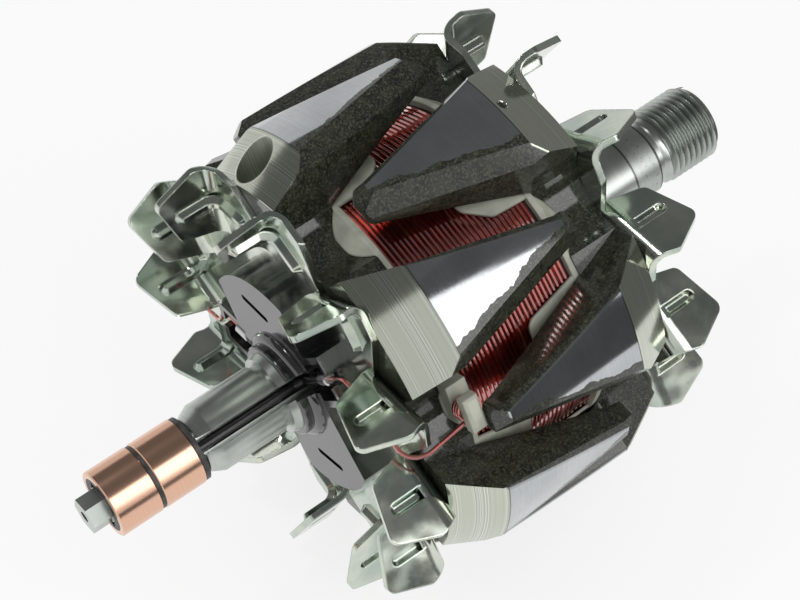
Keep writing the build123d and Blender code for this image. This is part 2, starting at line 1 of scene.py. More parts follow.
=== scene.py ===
# %% [markdown]
# # The rotor of a vehicle alternator
#
# A claw-pole rotor is a handful of very different surfaces in one object: ground steel, forged steel
# under dark varnish, zinc-plated sheet, copper, red enamelled wire and plastics. The solids come
# packed, in metres, in a frame whose X axis is the shaft. This lesson keeps those solids where they
# are, winds the coil, cuts the thread, and then gives each finish its own procedural material.

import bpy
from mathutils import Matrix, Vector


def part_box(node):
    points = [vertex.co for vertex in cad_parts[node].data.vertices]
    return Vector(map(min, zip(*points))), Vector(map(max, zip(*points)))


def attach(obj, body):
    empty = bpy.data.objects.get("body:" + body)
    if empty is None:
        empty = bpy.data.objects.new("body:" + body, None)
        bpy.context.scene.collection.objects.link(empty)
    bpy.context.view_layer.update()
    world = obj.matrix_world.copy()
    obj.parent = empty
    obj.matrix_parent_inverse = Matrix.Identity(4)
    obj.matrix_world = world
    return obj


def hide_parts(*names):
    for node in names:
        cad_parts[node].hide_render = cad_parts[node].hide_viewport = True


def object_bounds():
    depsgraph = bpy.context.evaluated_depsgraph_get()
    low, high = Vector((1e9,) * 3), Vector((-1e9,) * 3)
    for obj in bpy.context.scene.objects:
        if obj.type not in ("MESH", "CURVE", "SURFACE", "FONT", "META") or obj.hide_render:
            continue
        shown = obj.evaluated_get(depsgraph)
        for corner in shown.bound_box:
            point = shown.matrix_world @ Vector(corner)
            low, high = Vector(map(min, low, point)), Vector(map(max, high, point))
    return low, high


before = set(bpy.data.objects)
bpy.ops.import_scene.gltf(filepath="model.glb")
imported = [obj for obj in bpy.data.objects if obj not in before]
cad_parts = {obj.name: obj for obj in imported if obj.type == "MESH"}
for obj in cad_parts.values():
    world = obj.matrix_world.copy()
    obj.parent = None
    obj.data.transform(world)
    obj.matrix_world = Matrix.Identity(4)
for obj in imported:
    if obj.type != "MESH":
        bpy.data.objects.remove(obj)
cad_low, cad_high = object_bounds()
print("packed box", [round(v, 4) for v in (*cad_low, *cad_high)])

# %% [markdown]
# ## Measuring the frame
#
# The poles, the coil and the shaft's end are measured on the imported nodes, so that a new piece or a
# finish stays in its place when the solids change. Stating the numbers again would be shorter, but
# they would drift apart from the solids. A node's vertices hold its place, and the distance of a
# vertex from the X axis is the root of y squared plus z squared.

import bmesh
import bpy
import numpy as np
from mathutils import Matrix, Vector

MM = 0.001
MM_PER_METRE = 1000.0


def node_points(node):
    """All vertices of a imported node, one row of x, y, z in metres for each."""
    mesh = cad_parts[node].data
    flat = np.empty(3 * len(mesh.vertices), np.float32)
    mesh.vertices.foreach_get("co", flat)
    return flat.reshape(-1, 3).astype(float)


def node_radii(node):
    """Distance of each vertex of a node from the shaft's axis: the root of y squared plus z squared."""
    points = node_points(node)
    return np.hypot(points[:, 1], points[:, 2])


claw_radius = node_radii("rear_claw_pole").max()
print("claw radius", round(claw_radius, 5), "m, from", len(node_points("rear_claw_pole")), "vertices")

# %% [markdown]
# ## Surfaces from arrays
#
# Every new piece starts as an array of points. The first helper joins the neighbours of a grid of
# points with quads. The second welds the seams, points the faces outwards and keeps the creases
# sharp. Curves with a bevel could make round wire too, but an array shows the formula, and the mesh
# is final as soon as it is made.

# %% A mesh from a grid of points
WELD_DISTANCE = 1e-7
FLAT_EDGE = 1e-8
CREASE_DEGREES = 40.0


def grid_mesh(name, points, wrap_rows=False, wrap_columns=False):
    """A mesh whose quads join neighbouring points of a (rows, columns, 3) array."""
    rows, columns = points.shape[:2]
    index = np.arange(rows * columns).reshape(rows, columns)
    if wrap_rows:
        index = np.vstack([index, index[:1]])
    if wrap_columns:
        index = np.hstack([index, index[:, :1]])
    corners = [index[:-1, :-1], index[:-1, 1:], index[1:, 1:], index[1:, :-1]]
    quads = np.stack(corners, axis=-1).reshape(-1, 4)
    mesh = bpy.data.meshes.new(name)
    mesh.from_pydata(points.reshape(-1, 3).tolist(), [], quads.tolist())
    return mesh


def tidy_mesh(mesh):
    """Merge doubles, drop faces of no size, point the faces outwards and keep creases sharp."""
    work = bmesh.new()
    work.from_mesh(mesh)
    bmesh.ops.remove_doubles(work, verts=work.verts, dist=WELD_DISTANCE)
    bmesh.ops.dissolve_degenerate(work, edges=work.edges, dist=FLAT_EDGE)
    bmesh.ops.recalc_face_normals(work, faces=work.faces)
    work.to_mesh(mesh)
    work.free()
    mesh.polygons.foreach_set("use_smooth", np.ones(len(mesh.polygons), bool))
    mesh.set_sharp_from_angle(angle=np.radians(CREASE_DEGREES))
    mesh.update()
    return mesh


print("seams weld within", WELD_DISTANCE, "m, and edges over", CREASE_DEGREES, "degrees stay sharp")

# %% [markdown]
# ## A profile carried along a path
#
# Wire and thread are made alike: a small closed outline travels along a line. Each ring of points is
# the path's point, plus the outline's first number times an outward direction, plus its second number
# times the direction square to both the path and outward. A ring of no size at each end closes the
# tube. The coil's and the thread's paths are helices, whose angle and x grow together.

# %% Sweep, helix and the piece on its body


def swept_mesh(name, path, outward, profile):
    """Each point is the path's, plus its first offset outward, plus its second offset sideways."""
    along = np.gradient(path, axis=0)
    along /= np.linalg.norm(along, axis=1, keepdims=True)
    sideways = np.cross(along, outward)
    sideways /= np.linalg.norm(sideways, axis=1, keepdims=True)
    if profile.ndim == 2:
        profile = np.repeat(profile[None], len(path), axis=0)
    rings = path[:, None] + profile[..., :1] * outward[:, None] + profile[..., 1:] * sideways[:, None]
    size = rings.shape[1]
    first = np.repeat(path[:1], size, axis=0)[None]
    last = np.repeat(path[-1:], size, axis=0)[None]
    return tidy_mesh(grid_mesh(name, np.concatenate([first, rings, last]), wrap_columns=True))


def around(angle):
    """Outward directions at an angle from +Z, right-handed about +X: minus its sine and its cosine."""
    return np.stack([np.zeros_like(angle), -np.sin(angle), np.cos(angle)], axis=-1)


def helix(start_x, pitch, turns, segments):
    """Angles, x positions (one pitch for each turn) and outward directions of a helix on the shaft."""
    angle = np.linspace(0, 2 * np.pi * turns, int(turns * segments) + 1)
    return angle, start_x + pitch * angle / (2 * np.pi), around(angle)


def add_piece(mesh, slot, *nodes):
    """Put a mesh in the scene on the rotor's one body, in place of some nodes. Its slot is not used."""
    piece = bpy.data.objects.new(mesh.name, mesh)
    bpy.context.scene.collection.objects.link(piece)
    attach(piece, "root")
    if nodes:
        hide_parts(*nodes)
    print(mesh.name, len(mesh.polygons), "faces")
    return piece


print("a quarter turn from +Z points along", around(np.array(np.pi / 2)).round(3))

# %% [markdown]
# ## The wound coil
#
# The real coil is one enamelled wire laid in close turns. Bump alone would leave its outline smooth,
# and the turns show clearly between the claws, so the outer layer is a true helix: x grows by one
# pitch for each turn while the point goes round the shaft. Slow sine waves, two in height and one
# along the shaft, keep the turns from looking machined. A plain ring underneath stands for the layers
# that nobody sees.

# %% Wind the outer layer
WIRE_PITCH = 1.05 * MM
WIRE_RADIUS = WIRE_PITCH / 2
WIRE_SEGMENTS = 120
WIRE_SIDES = 8
END_GAP = 0.1 * MM
LAY_WOBBLE = 0.05 * MM
LONG_WAVE = 0.31
SHORT_WAVE = 1.73
SIDE_WAVE = 0.11
coil_low, coil_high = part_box("field_coil")
coil_radius = node_radii("field_coil").max()
coil_bore = node_radii("field_coil").min()


def circle_profile(radius, sides):
    """Points of a circle: the radius times the cosine and the sine of even steps of a turn."""
    turn = np.linspace(0, 2 * np.pi, sides, endpoint=False)
    return radius * np.stack([np.cos(turn), np.sin(turn)], axis=1)


def wound_coil():
    """Round wire on a helix whose radius wavers by two sine waves of the angle, and its x by a third."""
    length = coil_high.x - coil_low.x - 2 * WIRE_RADIUS - 2 * END_GAP
    turns = length / WIRE_PITCH
    angle, x, outward = helix(coil_low.x + WIRE_RADIUS + END_GAP, WIRE_PITCH, turns, WIRE_SEGMENTS)
    waves = np.sin(LONG_WAVE * angle) + np.sin(SHORT_WAVE * angle)
    lift = coil_radius - WIRE_RADIUS + LAY_WOBBLE * (waves - 1)
    path = outward * lift[:, None]
    path[:, 0] = x + LAY_WOBBLE * np.sin(SIDE_WAVE * angle)
    print("the outer layer has", round(turns, 1), "turns")
    return swept_mesh("coil_outer_layer", path, outward, circle_profile(WIRE_RADIUS, WIRE_SIDES))


coil = add_piece(wound_coil(), "enamelled_wire", "field_coil")

# %% Fill the space under it
RING_SEGMENTS = 96


def under_ring():
    """A closed ring: the four corners of its section (x, radius), carried once round the shaft."""
    outer = coil_radius - WIRE_RADIUS
    near = coil_low.x
    far = coil_high.x
    corners = np.array([[near, coil_bore], [near, outer], [far, outer], [far, coil_bore]])
    outward = around(np.linspace(0, 2 * np.pi, RING_SEGMENTS, endpoint=False))
    points = outward[:, None] * corners[None, :, 1:]
    points[..., 0] = corners[None, :, 0]
    return tidy_mesh(grid_mesh("coil_under_layers", points, wrap_rows=True, wrap_columns=True))


under_layers = add_piece(under_ring(), "enamelled_wire")

# %% [markdown]
# ## Wire round the bobbin's posts
#
# Each end of the coil is wound a few times round the neck of a post before it leaves. The heads of the
# two posts are the bobbin's farthest points from the shaft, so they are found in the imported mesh, one
# on each side of the shaft, and the turns are a short helix about the radius through the head's
# middle.

# %% Wind the posts
POST_HEAD_HEIGHT = 2.8 * MM
POST_NECK_HEIGHT = 2.9 * MM
POST_NECK_RADIUS = 1.5 * MM
HEAD_TOP_SHARE = 0.6
LEAD_RADIUS = 0.45 * MM
LEAD_SIDES = 10
POST_TURNS = 2.6
POST_SEGMENTS = 28
bobbin_radii = node_radii("coil_bobbin")


def post_heads():
    """Middle of the top of each post's head: the mean of the farthest points on each side."""
    is_top = bobbin_radii > bobbin_radii.max() - HEAD_TOP_SHARE * POST_HEAD_HEIGHT
    tops = node_points("coil_bobbin")[is_top]
    first = tops[:, 1:] @ tops[0, 1:] > 0
    return [tops[first].mean(axis=0), tops[~first].mean(axis=0)]


def post_wraps(name, head):
    """Turns round a post: a circle about the neck's foot, square to the post, plus a steady climb."""
    outward = np.array([0.0, head[1], head[2]])
    outward /= np.linalg.norm(outward)
    along = np.array([1.0, 0.0, 0.0])
    across = np.cross(outward, along)
    neck_foot = outward * (bobbin_radii.max() - POST_HEAD_HEIGHT - POST_NECK_HEIGHT)
    neck_foot[0] = head[0]
    angle = np.linspace(0, 2 * np.pi * POST_TURNS, int(POST_TURNS * POST_SEGMENTS) + 1)
    away = np.cos(angle)[:, None] * along + np.sin(angle)[:, None] * across
    climb = np.linspace(LEAD_RADIUS, POST_NECK_HEIGHT - LEAD_RADIUS, len(angle))
    path = neck_foot + (POST_NECK_RADIUS + LEAD_RADIUS) * away + climb[:, None] * outward
    return swept_mesh(name, path, away, circle_profile(LEAD_RADIUS, LEAD_SIDES))


wraps = [
    add_piece(post_wraps(f"post_wraps_{side}", head), "enamelled_wire")
    for side, head in zip(("one", "two"), post_heads())
]

# %% [markdown]
# ## The pulley thread
#
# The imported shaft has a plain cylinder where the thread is. A copy of its mesh is taken down to the
# thread's root there, and a ridge is carried along a helix on top of it, which is simpler to make than
# a groove. The ridge's section is a low rounded peak. Its height grows over the first six tenths of a
# turn, and the end chamfer limits it at the other end.

# %% Take the shaft down to the thread's root
THREAD_DEPTH = 0.85 * MM
THREAD_LENGTH = 14.3 * MM
SEAM_MARGIN = 0.05 * MM
shaft_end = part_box("shaft")[1].x
thread_start = shaft_end - THREAD_LENGTH
threaded = node_points("shaft")[:, 0] > thread_start - SEAM_MARGIN
thread_root = node_radii("shaft")[threaded].max() - THREAD_DEPTH


def turned_down_shaft():
    """A copy of the shaft whose points beyond the root move to it: y and z times root over radius."""
    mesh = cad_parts["shaft"].data.copy()
    mesh.name = "threaded_shaft"
    points = node_points("shaft")
    radii = node_radii("shaft")
    proud = threaded & (radii > thread_root)
    points[proud, 1:] *= (thread_root / radii[proud])[:, None]
    mesh.vertices.foreach_set("co", points.astype(np.float32).ravel())
    mesh.update()
    return mesh


shaft_piece = add_piece(turned_down_shaft(), "turned_steel", "shaft")
print("thread root radius", round(thread_root, 5), "m")

# %% Carry the ridge along it
THREAD_PITCH = 1.5 * MM
THREAD_CHAMFER = 1.2 * MM
THREAD_SEGMENTS = 72
END_CLEARANCE = 0.3 * THREAD_PITCH
FADE_TURNS = 0.6
LEAST_HEIGHT = 0.05
RIDGE_HALF_WIDTH = 0.49 * THREAD_PITCH
RIDGE_HALF_SECTION = [[-0.2, -1.0], [0.0, -1.0], [0.9, -0.2]]


def ridge_profile():
    """Points of the ridge's section as (height, sideways) shares: one side, the crest and its mirror."""
    side = np.array(RIDGE_HALF_SECTION)
    return np.vstack([side, [[1.0, 0.0]], side[::-1] * [1.0, -1.0]])


def thread_ridge():
    """The section on a helix; its height is the depth, times the fade in, times the chamfer's room."""
    turns = (THREAD_LENGTH - 2 * END_CLEARANCE) / THREAD_PITCH
    angle, x, outward = helix(thread_start + END_CLEARANCE, THREAD_PITCH, turns, THREAD_SEGMENTS)
    path = outward * thread_root
    path[:, 0] = x
    fade_in = np.clip(angle / (FADE_TURNS * 2 * np.pi), LEAST_HEIGHT, 1)
    room = (THREAD_DEPTH - np.clip(x - (shaft_end - THREAD_CHAMFER), 0, None)) / THREAD_DEPTH
    height = THREAD_DEPTH * fade_in * np.clip(room, LEAST_HEIGHT, 1)
    profile = np.repeat(ridge_profile()[None], len(path), axis=0)
    profile[..., 0] *= height[:, None]
    profile[..., 1] *= RIDGE_HALF_WIDTH
    return swept_mesh("thread_ridge", path, outward, profile)


ridge_piece = add_piece(thread_ridge(), "turned_steel")

# %% [markdown]
# ## Writing shader maths as expressions
#
# A finish is a small formula over the surface: how far this point is from the shaft, how rough it is
# there, where varnish covers it. Wiring each sum by hand would hide the formula, so `Value` wraps a
# socket and overloads the arithmetic: a formula is written as Python, and each operator adds its Math
# node. `Material.add_node` adds any other node. Inside a finish, lengths are in millimetres.

# %% A value that can be calculated with


class Value:
    """One output socket of a material, with operators that add Math nodes."""

    def __init__(self, owner, socket):
        self.owner = owner
        self.socket = socket

    def __add__(self, other):
        return self.owner.math("ADD", self, other)

    def __sub__(self, other):
        return self.owner.math("SUBTRACT", self, other)

    def __rsub__(self, other):
        return self.owner.math("SUBTRACT", other, self)

    def __mul__(self, other):
        return self.owner.math("MULTIPLY", self, other)

    def __pow__(self, other):
        return self.owner.math("POWER", self, other)

    def __rpow__(self, other):
        return self.owner.math("POWER", other, self)

    def __abs__(self):
        return self.owner.math("ABSOLUTE", self)

    __radd__ = __add__
    __rmul__ = __mul__

    def least(self, other):
        """The smaller of two values."""
        return self.owner.math("MINIMUM", self, other)

    def most(self, other):
        """The greater of two values."""
        return self.owner.math("MAXIMUM", self, other)

    def rise(self, start, end):
        """0 below start, 1 above end and a smooth step between; start above end falls instead."""
        settings = {"interpolation_type": "SMOOTHSTEP"}
        values = {"Value": self, "From Min": start, "From Max": end, "To Min": 0.0, "To Max": 1.0}
        if start > end:
            values.update({"From Min": end, "From Max": start, "To Min": 1.0, "To Max": 0.0})
        return self.owner.node("MapRange", settings, values)


print("a value can be added, subtracted, multiplied, raised to a power and made positive")

# %% A material whose nodes come from one method
# A colour mix shares its sockets with other kinds of mix, so its own are known by their numbers.
MIX_SHARE = 0
MIX_FIRST = 6
MIX_SECOND = 7
MIX_COLOUR = 2


class Material:
    """A material under construction."""

    def __init__(self, name):
        self.material = bpy.data.materials.new(name)
        self.material.use_nodes = True
        self.tree = self.material.node_tree
        self.tree.nodes.clear()

    def add_node(self, kind, settings=None, values=None):
        """Add a node and set its settings, then its sockets: a link, a number or an (r, g, b) tuple."""
        made = self.tree.nodes.new("ShaderNode" + kind)
        for key, value in (settings or {}).items():
            setattr(made, key, value)
        for key, value in (values or {}).items():
            if isinstance(value, Value):
                self.tree.links.new(value.socket, made.inputs[key])
            else:
                made.inputs[key].default_value = (*value, 1.0) if isinstance(value, tuple) else value
        return made

    def node(self, kind, settings=None, values=None, output=0):
        """Add a node and wrap one of its outputs."""
        return Value(self, self.add_node(kind, settings, values).outputs[output])

    def math(self, operation, *operands):
        """Add a Math node, with the operands in the order of its sockets."""
        return self.node("Math", {"operation": operation}, dict(enumerate(operands)))

    def mix(self, share, first, second):
        """A colour that goes from the first to the second as share goes from 0 to 1."""
        sockets = {MIX_SHARE: share, MIX_FIRST: first, MIX_SECOND: second}
        return self.node("Mix", {"data_type": "RGBA"}, sockets, MIX_COLOUR)

    def shader(self, **sockets):
        """A Principled shader; underscores in the names stand for spaces."""
        values = {key.replace("_", " "): value for key, value in sockets.items()}
        return self.node("BsdfPrincipled", {}, values)

    def finish(self, shader):
        """Close the material with a shader and return it."""
        self.add_node("OutputMaterial", {}, {"Surface": shader})
        print(self.material.name, "has", len(self.tree.nodes), "nodes")
        return self.material

    def surface(self, **sockets):
        """Close the material with one Principled shader."""
        return self.finish(self.shader(**sockets))


print("a colour mix takes its colours at sockets", MIX_FIRST, "and", MIX_SECOND)

# %% A finish knows its place on the rotor
EDGE_SAMPLES = 6


class Finish(Material):
    """A material with millimetres along and about the shaft, and the patterns that read them."""

    def __init__(self, name):
        super().__init__(name)
        self.place = self.node("TexCoord", output="Object")
        parts = self.add_node("SeparateXYZ", {}, {"Vector": self.place})
        self.x, self.y, self.z = (Value(self, parts.outputs[axis]) * MM_PER_METRE for axis in "XYZ")
        self.radius = (self.y * self.y + self.z * self.z) ** 0.5

    def noise(self, per_mm, detail=2.0, roughness=0.5, place=None):
        """Soft noise from 0 to 1, with about this many features for each millimetre."""
        values = {"Vector": place or self.place, "Scale": MM_PER_METRE * per_mm}
        values.update({"Detail": detail, "Roughness": roughness})
        return self.node("TexNoise", {}, values)

    def stretched(self, along_scale, around_scale):
        """The place with x and the two other axes scaled, for marks that are long one way."""
        along = along_scale * MM
        across = around_scale * MM
        return self.node("CombineXYZ", {}, {0: self.x * along, 1: self.y * across, 2: self.z * across})

    def lines(self, along, per_mm, detail=2.0):
        """Noise that only changes with one value, as turning marks do."""
        values = {"W": along, "Scale": per_mm, "Detail": detail}
        return self.node("TexNoise", {"noise_dimensions": "1D"}, values)

    def bump(self, height, distance_mm, base=None):
        """A normal from a height, of which 1 stands for this many millimetres, on top of a base normal."""
        values = {"Height": height, "Distance": distance_mm * MM, "Strength": 1.0}
        if base:
            values["Normal"] = base
        return self.node("Bump", {}, values)

    def rounded(self, radius_mm):
        """A normal that rounds sharp edges by this radius."""
        return self.node("Bevel", {"samples": EDGE_SAMPLES}, {"Radius": radius_mm * MM})


def dress(piece, material):
    """Give a piece one material in place of what it came with."""
    piece.data.materials.clear()
    piece.data.materials.append(material)


print("edges are rounded with", EDGE_SAMPLES, "samples")

# %% [markdown]
# ## Turned and ground steel
#
# The shaft is turned, and its seats are ground. Turning marks run round it, so they only change with
# x: a one-dimensional noise over x gives both the fine brightness lines and the bump, and it needs no
# unwrapping. The last stretch of the drive-end seat, where the pulley's bore sits, is scored more
# coarsely and has small dark specks, and two thin dark lines of painted shade mark its ends.

# %% Shaft steel
LAND_START = 11.5
LAND_END = 18.1
LAND_FADE = 0.15
NEAR_SHADE_LINE = (0.35, 0.15)
FAR_SHADE_LINE = (0.5, 0.2)
SHAFT_DULL = (0.42, 0.45, 0.42)
SHAFT_CLEAN = (0.54, 0.57, 0.54)
SHAFT_MARK = (0.20, 0.20, 0.20)
SHAFT_SPECK = (0.10, 0.10, 0.10)
PAINTED_LAND_SHADE = (0.03, 0.03, 0.03)


def turned_steel():
    """Steel with marks that only change with x, coarser between the two ends of the pulley's land."""
    steel = Finish("turned_steel")
    marks = steel.lines(steel.x, per_mm=6.0, detail=3.0)
    scores = steel.lines(steel.x, per_mm=2.4)
    patches = steel.noise(per_mm=0.12, detail=3.0)
    specks = steel.noise(per_mm=1.4, detail=4.0, roughness=0.7)
    land = steel.x.rise(LAND_START, LAND_START + LAND_FADE) * steel.x.rise(LAND_END, LAND_END - LAND_FADE)
    # Painted shade: a thin dark line at each end of the land.
    line = abs(steel.x - LAND_START).rise(*NEAR_SHADE_LINE).most(abs(steel.x - LAND_END).rise(*FAR_SHADE_LINE))
    shade = steel.mix(patches.rise(0.35, 0.7), SHAFT_DULL, SHAFT_CLEAN)
    shade = steel.mix(marks.rise(0.5, 0.8) * 0.25, shade, SHAFT_MARK)
    shade = steel.mix(specks.rise(0.58, 0.66) * land * 0.6, shade, SHAFT_SPECK)
    shade = steel.mix(line * 0.75, shade, PAINTED_LAND_SHADE)
    rough = 0.24 + 0.07 * marks + 0.04 * patches + 0.08 * land
    normal = steel.bump(marks * 0.15 + scores * land, distance_mm=0.02)
    return steel.surface(Base_Color=shade, Metallic=1.0, Roughness=rough, Normal=normal)


shaft_steel = turned_steel()
dress(shaft_piece, shaft_steel)
dress(ridge_piece, shaft_steel)

# %% [markdown]
# ## Claw poles: where the steel is bare
#
# The poles are dipped in varnish, then the outside of the claws and their cone-shaped shoulders are
# turned clean. Painting a mask by hand would tie it to one mesh, so formulas tell bare steel from
# varnish. Depth is counted from the pole's outer face towards its claws' tips. A point is bare where
# its distance from the shaft reaches the turned outline, which is the smaller of the claw radius and
# the shoulder cone. The varnish creeps back over one long edge of each claw, the one at the greater
# angle: the angle about the shaft is wrapped to one claw, and the distance to that edge is the face's
# half width there less the distance from the claw's middle line. The rear pole also has a hole,
# drilled into one shoulder to balance the rotor, with a worn rim.

# %% Bare steel, creeping varnish and the balancing hole
CLAW_COUNT = 6
HALF_SECTOR = np.pi / CLAW_COUNT
SHOULDER_RADIUS = 43.7
SHOULDER_DEPTH = 10.1
CONE_SLOPE = (claw_radius / MM - SHOULDER_RADIUS) / SHOULDER_DEPTH
TURNED_FADE = (-0.42, -0.16)
SHOULDER_FADE = 0.2
FACE_HALF_WIDTH = 9.1
TIP_HALF_WIDTH = 1.8
FACE_REACH = 40.2
NARROWING = (FACE_HALF_WIDTH - TIP_HALF_WIDTH) / (FACE_REACH - SHOULDER_DEPTH)
WAVY_CREEP = 4.0
WAVY_FLOOR = 0.35
RAGGED_CREEP = 1.6
RAGGED_FLOOR = 0.2
CREEP_FADE = 0.15
HOLE_RADIUS = 4.4
HOLE_POSITION = 5.0
HOLE_FADE = (HOLE_RADIUS + 0.3, HOLE_RADIUS + 0.1)
HOLE_SIDE = (30.0, 31.0)
RIM_START = (HOLE_RADIUS + 0.03, HOLE_RADIUS + 0.08)
RIM_END = (HOLE_RADIUS + 0.5, HOLE_RADIUS + 0.3)
RIM_WEAR = 0.8


def turned_clean(pole, depth):
    """1 where the radius reaches the claw radius or, if less, shoulder radius plus depth times slope."""
    outline = (SHOULDER_RADIUS + depth * CONE_SLOPE).least(claw_radius / MM)
    return (pole.radius - outline).rise(*TURNED_FADE)


def clear_of_varnish(pole, depth, phase, ragged):
    """1 where half width, less the distance from the claw's middle, less the creep, is over zero."""
    turn = pole.math("ARCTAN2", 0.0 - pole.y, pole.z) - np.radians(phase)
    off_middle = pole.math("SINE", pole.math("WRAP", turn, HALF_SECTOR, -HALF_SECTOR)) * pole.radius
    half_width = FACE_HALF_WIDTH - (depth - SHOULDER_DEPTH).most(0.0) * NARROWING
    wavy = pole.noise(per_mm=0.13)
    creep = WAVY_CREEP * (wavy - WAVY_FLOOR).most(0.0) + RAGGED_CREEP * (ragged - RAGGED_FLOOR)
    clear = (half_width - off_middle - creep).rise(0.0, CREEP_FADE)
    return clear.most(depth.rise(SHOULDER_DEPTH, SHOULDER_DEPTH - SHOULDER_FADE))


def balancing_hole(pole, depth, phase, ragged):
    """Two masks from the distance to the hole's axis: inside the hole, and on its worn rim."""
    cosine = np.cos(np.radians(phase))
    sine = np.sin(np.radians(phase))
    sideways = pole.y * cosine + pole.z * sine
    upward = pole.z * cosine - pole.y * sine
    from_hole = ((depth - HOLE_POSITION) ** 2.0 + sideways * sideways) ** 0.5
    worn = from_hole + (ragged - 0.5) * RIM_WEAR
    drilled = from_hole.rise(*HOLE_FADE) * upward.rise(*HOLE_SIDE)
    return drilled, from_hole.rise(*RIM_START) * worn.rise(*RIM_END)


print("claw faces narrow by", round(NARROWING, 3), "mm a side for each mm along the shaft")

# %% [markdown]
# ## Claw poles: the turned steel
#
# The claws' faces are smooth enough to show the room, with fine brushing along the turning direction,
# darker marks and small bright nicks. The shoulders are scored in groups of rings, light and dark. A
# dark line of painted shade marks the edge between the two, and the hole is dull inside with a bright
# rim. All of it is one metal whose colour is mixed in layers, because layers can be tuned one at a time.

# %% Face, shoulder and their shader
CONE_FADE = 0.1
EDGE_OFFSET = 0.05
EDGE_HALF_WIDTH = (0.2, 0.1)
FACE_DULL = (0.44, 0.46, 0.47)
FACE_CLEAN = (0.56, 0.58, 0.59)
FACE_BRUSHED = (0.22, 0.23, 0.24)
FACE_MARK = (0.38, 0.39, 0.41)
FACE_NICK = (0.75, 0.77, 0.80)
SHOULDER_DULL = (0.52, 0.54, 0.46)
SHOULDER_CLEAN = (0.58, 0.61, 0.52)
LIGHT_SCORE = (0.84, 0.86, 0.82)
DARK_SCORE = (0.30, 0.32, 0.27)
WORN_RIM = (0.88, 0.88, 0.80)
PAINTED_EDGE_SHADE = (0.12, 0.12, 0.11)


def shoulder_tint(pole, cone_marks, rim):
    """Greenish steel with light and dark score rings in groups, and the hole's bright rim."""
    scores = pole.lines(pole.x, per_mm=4.5, detail=1.0)
    groups = pole.lines(pole.x, per_mm=0.3, detail=1.0).rise(0.42, 0.6)
    tint = pole.mix(cone_marks.rise(0.35, 0.7), SHOULDER_DULL, SHOULDER_CLEAN)
    tint = pole.mix(scores.rise(0.56, 0.62) * groups * 0.6, tint, LIGHT_SCORE)
    tint = pole.mix(scores.rise(0.44, 0.38) * groups * 0.4, tint, DARK_SCORE)
    return pole.mix(rim, tint, WORN_RIM)


def bright_steel(pole, depth, drilled, rim):
    """Near-mirror faces with brushing, marks and nicks, beside the shoulders and round the hole."""
    on_cone = depth.rise(SHOULDER_DEPTH + CONE_FADE, SHOULDER_DEPTH - CONE_FADE)
    # Painted shade: a thin dark line along the edge between face and shoulder.
    edge_shade_line = abs(depth - SHOULDER_DEPTH - EDGE_OFFSET).rise(*EDGE_HALF_WIDTH)
    marks = pole.lines(pole.x, per_mm=5.0, detail=3.0)
    cone_marks = pole.lines(pole.x, per_mm=2.4)
    patches = pole.noise(per_mm=0.08, detail=3.0)
    brush = pole.noise(per_mm=1.0, place=pole.stretched(along_scale=5.0, around_scale=0.25))
    short = pole.stretched(along_scale=2.5, around_scale=0.6)
    nicks = pole.noise(per_mm=1.6, detail=3.0, roughness=0.6, place=short)
    face = pole.mix(patches.rise(0.3, 0.7), FACE_DULL, FACE_CLEAN)
    face = pole.mix(brush.rise(0.55, 0.8) * 0.3, face, FACE_BRUSHED)
    face = pole.mix(marks.rise(0.5, 0.62) * 0.35, face, FACE_MARK)
    face = pole.mix(nicks.rise(0.68, 0.74) * 0.5, face, FACE_NICK)
    both = pole.mix(on_cone, face, shoulder_tint(pole, cone_marks, rim))
    relief = brush * 0.08 + marks * 0.12 + cone_marks * on_cone * 0.2 + nicks * drilled
    return pole.shader(
        Base_Color=pole.mix(edge_shade_line * 0.7, both, PAINTED_EDGE_SHADE),
        Metallic=1.0,
        Roughness=0.03 + 0.05 * brush + 0.02 * patches + 0.06 * on_cone + 0.35 * drilled + 0.3 * rim,
        Normal=pole.bump(relief, distance_mm=0.01),
    )


print("shoulder cone rises", round(CONE_SLOPE, 3), "mm for each mm along the shaft")

# %% [markdown]
# ## Claw poles: the varnish
#
# The varnish is a thick dip: almost black, olive where light gets through, lumpy from the scale under
# it and grainy from dust. Pale specks in its colour are painted glints. A clear coat gives the wet gloss
# and a rounded normal softens every forged edge beneath it. Steel and varnish are two shaders, and
# bareness mixes them, because a metal and a coated plastic differ in more than colour.

# %% Varnish and the two poles
VARNISH_DARK = (0.005, 0.006, 0.003)
VARNISH_OLIVE = (0.030, 0.033, 0.019)
VARNISH_GRIT = (0.080, 0.088, 0.054)
VARNISH_PAINTED_GLINT = (0.30, 0.31, 0.27)
VARNISH_ROUNDING = 2.8
REAR_PHASE = -15.0
FRONT_PHASE = 15.0
rear_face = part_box("rear_claw_pole")[0].x
front_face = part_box("front_claw_pole")[1].x


def dipped_varnish(pole):
    """Dark olive varnish: lumps, grit and specks of painted glint in colour and bump, under a clear coat.
    """
    lumps = pole.noise(per_mm=0.35, detail=3.0, roughness=0.6)
    grit = pole.noise(per_mm=2.0, detail=5.0, roughness=0.7)
    painted_glint_specks = pole.noise(per_mm=2.6)
    olive = pole.mix(lumps.rise(0.35, 0.7), VARNISH_DARK, VARNISH_OLIVE)
    olive = pole.mix(grit.rise(0.48, 0.62), olive, VARNISH_GRIT)
    # Painted glints: sparse pale specks mixed into the varnish colour.
    olive = pole.mix(painted_glint_specks.rise(0.66, 0.72) * 0.35, olive, VARNISH_PAINTED_GLINT)
    relief = lumps * 1.5 + grit * 1.1 + painted_glint_specks * 0.3
    return pole.shader(
        Base_Color=olive,
        Roughness=0.22 + 0.3 * grit,
        Specular_IOR_Level=0.25,
        Coat_Weight=1.0,
        Coat_Roughness=0.08,
        Coat_IOR=1.6,
        Normal=pole.bump(relief, distance_mm=0.6, base=pole.rounded(VARNISH_ROUNDING)),
    )


